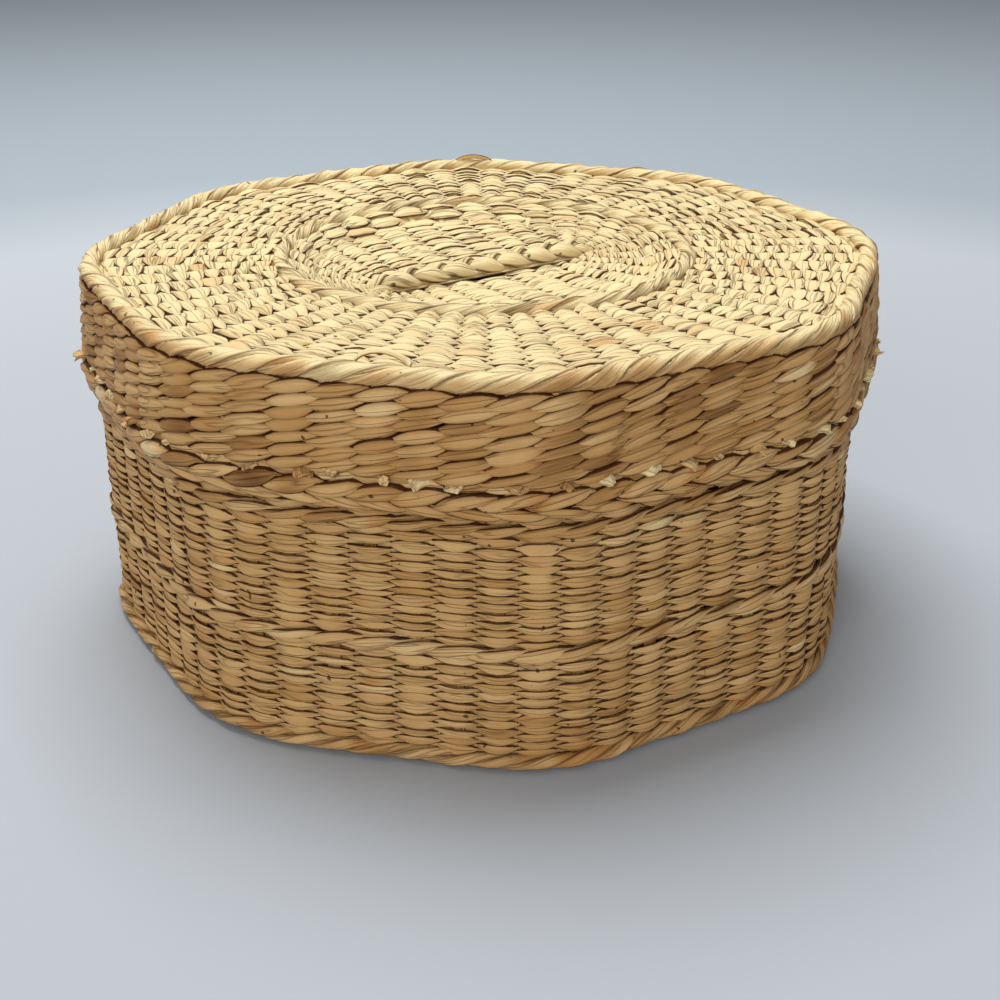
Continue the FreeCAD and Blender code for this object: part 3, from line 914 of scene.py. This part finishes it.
class WARMER_OT_stake_ends(WarmerPiece, bpy.types.Operator):
    """Cuts the lid's stakes to short stubs, which stick out above the border."""

    bl_idname = "warmer.stake_ends"
    bl_label = "Cut stake ends"

    def execute(self, context):
        s = sizes(context)
        random = seeded(71)

        def each(low, high):
            """A random number for each stub, which broadcasts over its points."""
            return random.uniform(low, high, s.stakes)[:, None, None]

        low, high = levels("lid_stake_ends")
        point, normal = plan(np.arange(s.stakes) + random.uniform(-0.2, 0.2, s.stakes), 0.0, s)
        reach = np.linspace(0, 1, 5)[:, None]
        stub, droop, slant = each(3.6, 5.0), each(-0.2, 0.5), each(-0.9, 0.9)
        run = unit(normal[:, None] + left_of(normal)[:, None] * slant - UP * droop * reach)
        path = point[:, None] + normal[:, None] * lid_offset(s, low) + run * stub * reach
        path[..., 2] += (low + high) / 2 + random.uniform(0.1, 0.9, (s.stakes, 1))
        side = unit(np.cross(UP + 0 * run, run) + UP * each(-0.5, 0.5))
        out = unit(np.cross(run, side))
        width = random.uniform(1.3, 2.9, (s.stakes, 1))
        tone = 0.6 + random.normal(0, 0.22, (s.stakes, 1))
        thickness = random.uniform(0.6, 1.3, (s.stakes, 1))
        stubs = tube(path, side, out, width, thickness, tone, closed=False, rim=0.95, power=0.8)
        ragged = random.uniform(-1.4, 0.3, (s.stakes, 1, len(SECTION)))[..., None] * reach[:, None] ** 2
        bent = random.normal(0, 0.3, (s.stakes, 5, len(SECTION), 3)) * reach[:, None]
        stubs.points += run[..., None, :] * ragged + bent
        place_on_lid(s, "lid_stake_ends_cut", [stubs], material_for("cut_sedge_end"), "stakes", "lid_stake_ends")
        return {"FINISHED"}


class WARMER_OT_plaits(WarmerPiece, bpy.types.Operator):
    """Plaits the three-strand braids in the middle of the lid and of the base."""

    bl_idname = "warmer.plaits"
    bl_label = "Plaits"

    def execute(self, context):
        s = sizes(context)
        for body, node, up, name, seed in (
            ("basket", "base_centre_braid", -1, "dried_sedge_strip", 81),
            ("lid", "lid_centre_braid", 1, "sun_bleached_sedge", 82),
        ):
            strands = plait(s, seeded(seed), sum(levels(node)) / 2 + 0.15, up)
            place(node + "_strands", [strands], material_for(name), body, "twined_rope", node)
        return {"FINISHED"}


def plait(s, random, middle, up):
    """Three-strand plait: strand n has the phase 2 * pi * (x / wave - n / 3); it swings sideways by sin(phase), faces
    outward there by sin(phase) radians, and crosses over by sin(2 * phase), where it is also fattest. Its ends sink
    into the weave. A flat strip under it closes the weave's first turn."""
    wave = 30.0
    t = np.linspace(-0.5, 0.5, 121)
    strand = np.arange(3)[:, None]
    x = np.repeat(t[None] * (s.braid_length + 4), 3, 0)
    phase = 2 * np.pi * (x / wave - strand / 3)
    taper = 1 - np.clip((np.abs(t) - 0.4) / 0.1, 0, 1) ** 2
    y = (s.braid_width / 2 - 2.1) * np.sin(phase) * (0.35 + 0.65 * taper)
    over = np.sin(2 * phase)
    z = 1.1 * over * taper - (1 - taper) * 1.6 - 0.5
    # The flat strip is a fourth row of each array.
    x, y, z = (np.concatenate([a, b]) for a, b in ((x, x[:1]), (y, 0 * y[:1]), (z, 0 * z[:1] - 2.2)))
    c, n = math.cos(s.braid_direction), math.sin(s.braid_direction)
    path = np.stack([x * c - y * n, x * n + y * c, middle + up * z], -1)
    run = unit(np.gradient(path, axis=1))
    side = unit(np.cross(UP * up + 0 * path, run))
    width = np.concatenate([2.35 * (0.45 + 0.55 * taper) * (0.8 + 0.34 * over), 4.2 * taper[None] ** 0.5 + 0.4])
    thick = np.concatenate([1.75 * (0.5 + 0.5 * taper) * (0.95 + 0.22 * over), 0.7 + 0 * x[:1]])
    # Painted light and shade: a strand is paler where it crosses over and darker where it passes under.
    tone = np.concatenate([0.5 + 0.12 * over + random.normal(0, 0.04, (3, 1)), 0.45 + 0 * x[:1]])
    roll = np.concatenate([np.sin(phase), 0 * phase[:1]])[..., None]
    out, c, n = unit(np.cross(run, side)), np.cos(roll), np.sin(roll)
    side, out = side * c - out * n, out * c + side * n
    return tube(path, side, out, width, thick, tone, closed=False, fold=0.1, rim=0.99, power=0.9)


class WARMER_OT_stage(WarmerPiece, bpy.types.Operator):
    """Sets the pale floor, two soft lights and the camera at the photograph's angle."""

    bl_idname = "warmer.stage"
    bl_label = "Stage"

    def execute(self, context):
        scene = context.scene
        colours = scene.warmer_colours
        around = 96
        radii = np.array([0.4, 1.0, 2.5, 6.0])
        rim = radii[:, None, None] * direction(np.linspace(0, 2 * np.pi, around, endpoint=False))
        index = np.arange(len(radii) * around).reshape(-1, around)
        following = np.roll(index, -1, 1)
        quads = np.stack([index[:-1], index[1:], following[1:], following[:-1]], -1).reshape(-1, 4)
        mesh = bpy.data.meshes.new("studio_floor")
        mesh.from_pydata(rim.reshape(-1, 3).tolist(), [], [list(range(around))] + quads.tolist())
        floor = new_object("studio_floor", mesh)
        material = bpy.data.materials.new("matt_studio_paper")
        tree = empty_tree(material)
        spot = add(tree, "ShaderNodeTexCoord").outputs["Object"]
        far = add(tree, "ShaderNodeVectorMath", {"operation": "LENGTH"}, _0=spot).outputs["Value"]
        # Painted light on the floor: darker near the warmer, brightest about half a metre out, darker again far back.
        share = add(tree, "ShaderNodeMapRange", Value=far, From_Min=0.25, From_Max=0.62).outputs[0]
        stops = [(0.0, colours.floor), (0.6, colours.floor_painted_light), (1.0, colours.floor_far)]
        ramp = add(tree, "ShaderNodeValToRGB", {"stops": stops}, Fac=share)
        surface = add(tree, "ShaderNodeBsdfPrincipled", Base_Color=ramp.outputs[0], Roughness=0.95)
        surface.inputs["Specular IOR Level"].default_value = 0.1
        add(tree, "ShaderNodeOutputMaterial", Surface=surface.outputs[0])
        mesh.materials.append(material)

        scene.world = bpy.data.worlds.new("studio")
        tree = empty_tree(scene.world)
        sky = add(tree, "ShaderNodeBackground", Color=(0.98, 0.99, 1.0, 1.0), Strength=0.33)
        add(tree, "ShaderNodeOutputWorld", Surface=sky.outputs[0])
        for name, spot, size, power in (
            ("softbox_above", (-0.3, 0.32, 1.45), 1.0, 24.0),
            ("softbox_front", (0.1, -1.6, 0.55), 1.2, 13.0),
        ):
            lamp = bpy.data.lights.new(name, "AREA")
            lamp.energy, lamp.size = power, size
            box = new_object(name, lamp)
            box.location = spot
            aim = np.array([0, 0, 0.06]) - np.array(spot)
            box.rotation_euler = (
                math.acos(-aim[2] / np.linalg.norm(aim)), 0, math.atan2(aim[1], aim[0]) - math.pi / 2
            )

        lens = bpy.data.cameras.new("photo_camera")
        lens.sensor_width, lens.lens = 36.0, CAMERA_LENS
        lens.clip_start, lens.clip_end = 0.02, 20.0
        camera = new_object("photo_camera", lens)
        camera.location = CAMERA_PLACE
        camera.rotation_euler = (math.radians(90 - CAMERA_DOWN), 0, math.radians(CAMERA_TURN))
        scene.camera = camera
        scene.view_settings.view_transform = "Standard"
        return {"FINISHED"}


class WARMER_PT_panel(bpy.types.Panel):
    """Lists the warmer's pieces and its stage in the sidebar."""

    bl_idname = "WARMER_PT_panel"
    bl_label = "Tortilla warmer"
    bl_space_type = "VIEW_3D"
    bl_region_type = "UI"
    bl_category = "Warmer"

    def draw(self, context):
        for operator in OPERATORS:
            self.layout.operator(operator.bl_idname)
        for group in (context.scene.warmer_sizes, context.scene.warmer_colours):
            column = self.layout.column()
            for name in group.__annotations__:
                column.prop(group, name)


OPERATORS = (
    WARMER_OT_stage,
    WARMER_OT_wall_weave,
    WARMER_OT_wall_ropes,
    WARMER_OT_stakes,
    WARMER_OT_plates,
    WARMER_OT_ring_ropes,
    WARMER_OT_plaits,
    WARMER_OT_lid_side,
    WARMER_OT_stake_ends,
)
CLASSES = (WarmerSizes, WarmerColours, *OPERATORS, WARMER_PT_panel)


def register():
    for item in CLASSES:
        bpy.utils.register_class(item)
    bpy.types.Scene.warmer_sizes = PointerProperty(type=WarmerSizes)
    bpy.types.Scene.warmer_colours = PointerProperty(type=WarmerColours)


def unregister():
    del bpy.types.Scene.warmer_colours
    del bpy.types.Scene.warmer_sizes
    for item in reversed(CLASSES):
        bpy.utils.unregister_class(item)


def main():
    """Makes every piece and the stage in order."""
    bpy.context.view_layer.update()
    register()
    bpy.ops.warmer.stage()
    bpy.ops.warmer.wall_weave()
    bpy.ops.warmer.wall_ropes()
    bpy.ops.warmer.stakes()
    bpy.ops.warmer.plates()
    bpy.ops.warmer.ring_ropes()
    bpy.ops.warmer.plaits()
    bpy.ops.warmer.lid_side()
    bpy.ops.warmer.stake_ends()


if __name__ == "__main__":
    main()
